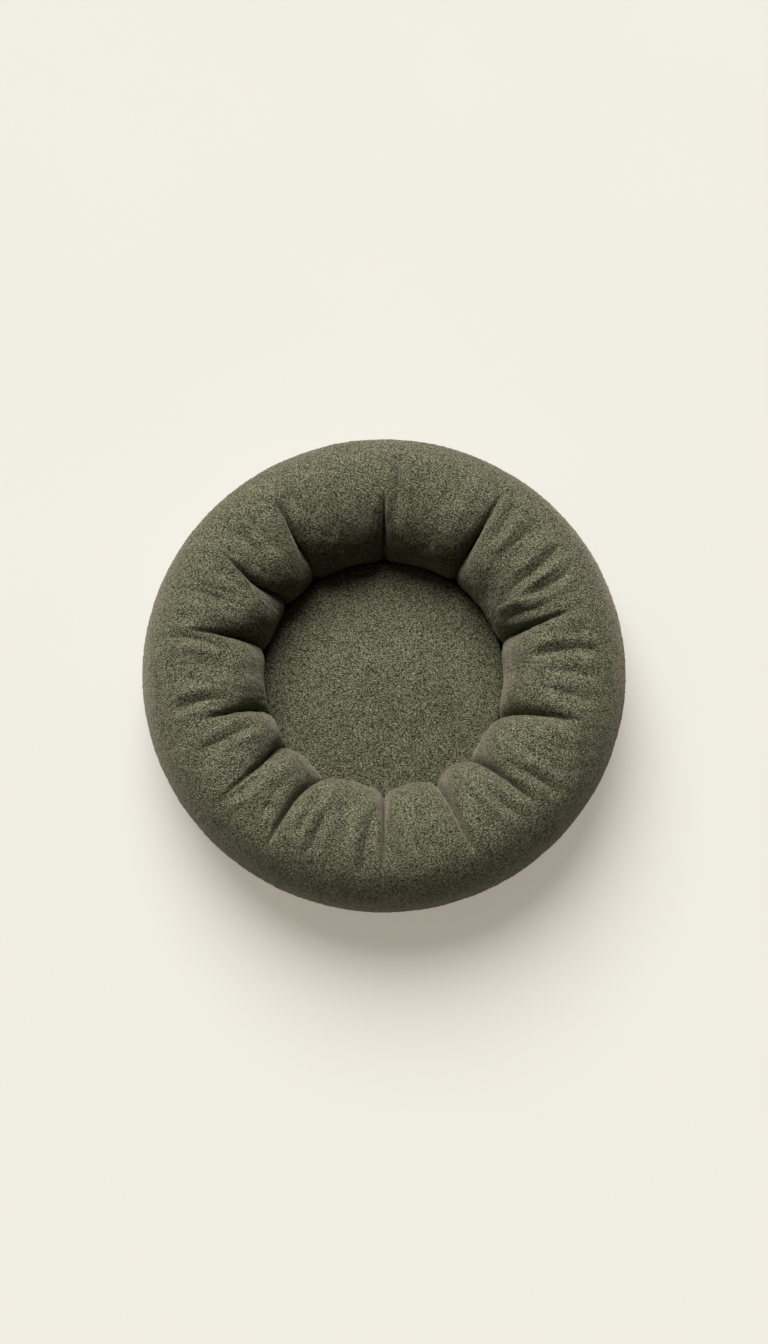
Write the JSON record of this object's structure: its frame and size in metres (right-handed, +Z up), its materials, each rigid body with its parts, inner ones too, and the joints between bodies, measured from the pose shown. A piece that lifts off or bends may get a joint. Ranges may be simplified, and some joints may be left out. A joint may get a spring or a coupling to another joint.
{
  "type": "pet cushion bed",
  "caption": "Round pet bed: a stuffed ring gathered in lobes around its inner edge, with a loose crowned cushion in the well and a dotted non-slip base.",
  "frame": {"origin": "centre of the bed's outline on the floor plane that its grip dots rest on", "axes": "+Z up; +Y towards the rear, where the zips are; +X to the right"},
  "size_m": [0.5994, 0.5994, 0.1557],
  "materials": {
    "boucle": "heathered olive wool boucle, napped",
    "lining": "thin non-woven",
    "filling": "loose white fibre",
    "elastic": "ribbed woven elastic",
    "grip_fabric": "plain weave with raised grip dots",
    "zip_tape": "herringbone tape",
    "zip_teeth": "satin nylon coil",
    "zip_metal": "dull painted alloy",
    "label": "smooth satin ribbon, blank"
  },
  "bodies": {
    "bed": {"bolster_cover": "boucle", "bolster_liner": "lining", "bolster_fill": "filling", "gather_elastic": "elastic", "base_panel": "grip_fabric", "base_wadding": "filling", "floor_panel": "boucle", "care_label": "label", "bolster_zip_tape_upper": "zip_tape", "bolster_zip_tape_lower": "zip_tape", "bolster_zip_teeth_upper": "zip_teeth", "bolster_zip_teeth_lower": "zip_teeth", "bolster_zip_top_stop_upper": "zip_metal", "bolster_zip_top_stop_lower": "zip_metal", "bolster_zip_bottom_stop": "zip_metal"},
    "bolster_slider": {"bolster_zip_slider": "zip_metal"},
    "bolster_pull": {"bolster_zip_pull": "zip_metal"},
    "cushion": {"cushion_top_panel": "boucle", "cushion_underside_panel": "boucle", "cushion_liner": "lining", "cushion_fill": "filling", "cushion_zip_tape_upper": "zip_tape", "cushion_zip_tape_lower": "zip_tape", "cushion_zip_teeth_upper": "zip_teeth", "cushion_zip_teeth_lower": "zip_teeth", "cushion_zip_top_stop_upper": "zip_metal", "cushion_zip_top_stop_lower": "zip_metal", "cushion_zip_bottom_stop": "zip_metal"},
    "cushion_slider": {"cushion_zip_slider": "zip_metal"},
    "cushion_pull": {"cushion_zip_pull": "zip_metal"}
  },
  "joints": [
    {"name": "cushion_lift", "type": "slide", "parent": "bed", "child": "cushion", "axis": [0, 0, 1], "range_m": [0, 0.2]},
    {"name": "bolster_zip_slide", "type": "hinge", "parent": "bed", "child": "bolster_slider", "pos_m": [0, 0, 0], "axis": [0, 0, 1], "range_deg": [-104.2, 0]},
    {"name": "bolster_pull_swing", "type": "hinge", "parent": "bolster_slider", "child": "bolster_pull", "pos_m": [-0.22123, 0.17199, 0.01933], "axis": [-0.4999, 0.3887, 0.774], "range_deg": [-90, 90]},
    {"name": "cushion_zip_slide", "type": "hinge", "parent": "cushion", "child": "cushion_slider", "pos_m": [0, 0, 0], "axis": [0, 0, 1], "range_deg": [-99.8, 0]},
    {"name": "cushion_pull_swing", "type": "hinge", "parent": "cushion_slider", "child": "cushion_pull", "pos_m": [-0.09828, 0.08273, 0.03182], "axis": [-0.6449, 0.5428, 0.538], "range_deg": [-90, 90]}
  ]
}
